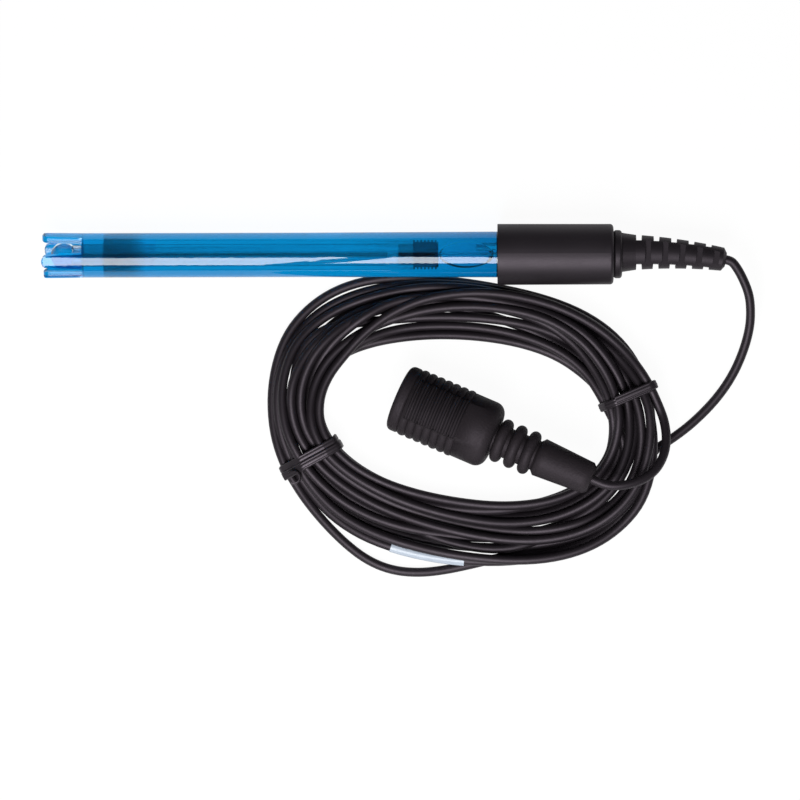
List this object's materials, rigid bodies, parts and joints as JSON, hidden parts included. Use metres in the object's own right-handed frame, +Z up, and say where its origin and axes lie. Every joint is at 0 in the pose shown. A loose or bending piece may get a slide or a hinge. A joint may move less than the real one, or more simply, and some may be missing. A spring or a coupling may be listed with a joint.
{
  "type": "ph electrode",
  "caption": "Slim pH electrode with a clear blue guarded shaft, glass bulb, black cap, slotted strain relief, tied cable coil and booted bayonet plug.",
  "frame": {"origin": "on the surface it lies on, under the middle of the electrode without its cable", "axes": "+X from the glass tip to the cable, along the electrode; +Z up; the coil lies on the -Y side"},
  "size_m": [0.1923, 0.0954, 0.0209],
  "materials": {
    "blue_plastic": "clear blue moulded plastic, polished",
    "clear_glass": "clear blown glass",
    "buffer": "clear liquid",
    "gel": "clear gel",
    "silver": "dull silver wire with a dark chloride coat",
    "fibre": "wet fibre sleeve",
    "seal_rubber": "dark sealing rubber",
    "resin": "dark potting resin",
    "black_plastic": "satin black moulding",
    "black_rubber": "satin black moulding",
    "cable_jacket": "smooth black jacket",
    "white_sleeve": "thin milky plastic sleeve",
    "tie_plastic": "black plastic ribbon with a wire core",
    "boot_rubber": "satin black moulding",
    "nickel": "nickel plate on turned brass",
    "spring_steel": "coned spring disc",
    "white_insulator": "turned white plastic",
    "gold_plate": "gold plated pin",
    "gasket_rubber": "soft red gasket"
  },
  "bodies": {
    "electrode": {"body_tube": "blue_plastic", "glass_stem": "clear_glass", "inner_buffer": "buffer", "measuring_wire": "silver", "reference_wire": "silver", "junction_wick": "fibre", "tip_seal": "seal_rubber", "stem_stopper": "seal_rubber", "reference_gel": "gel", "head_potting": "resin", "head_cap": "black_plastic", "strain_relief": "black_rubber", "cable_lead": "cable_jacket", "cable_coil": "cable_jacket", "cable_loose_turn": "cable_jacket", "cable_tail": "cable_jacket", "cable_label": "white_sleeve", "tie_left": "tie_plastic", "tie_right": "tie_plastic", "plug_shell": "nickel", "spring_washer": "spring_steel", "crimp_ferrule": "nickel", "plug_insulator": "white_insulator", "centre_pin": "gold_plate", "plug_gasket": "gasket_rubber"},
    "coupling": {"connector_boot": "boot_rubber", "bayonet_sleeve": "nickel"}
  },
  "joints": [
    {"name": "coupling_turn", "type": "hinge", "parent": "electrode", "child": "coupling", "pos_m": [0.00389, -0.0383, 0.00898], "axis": [0.9122, -0.3938, 0.1132], "continuous": true}
  ]
}
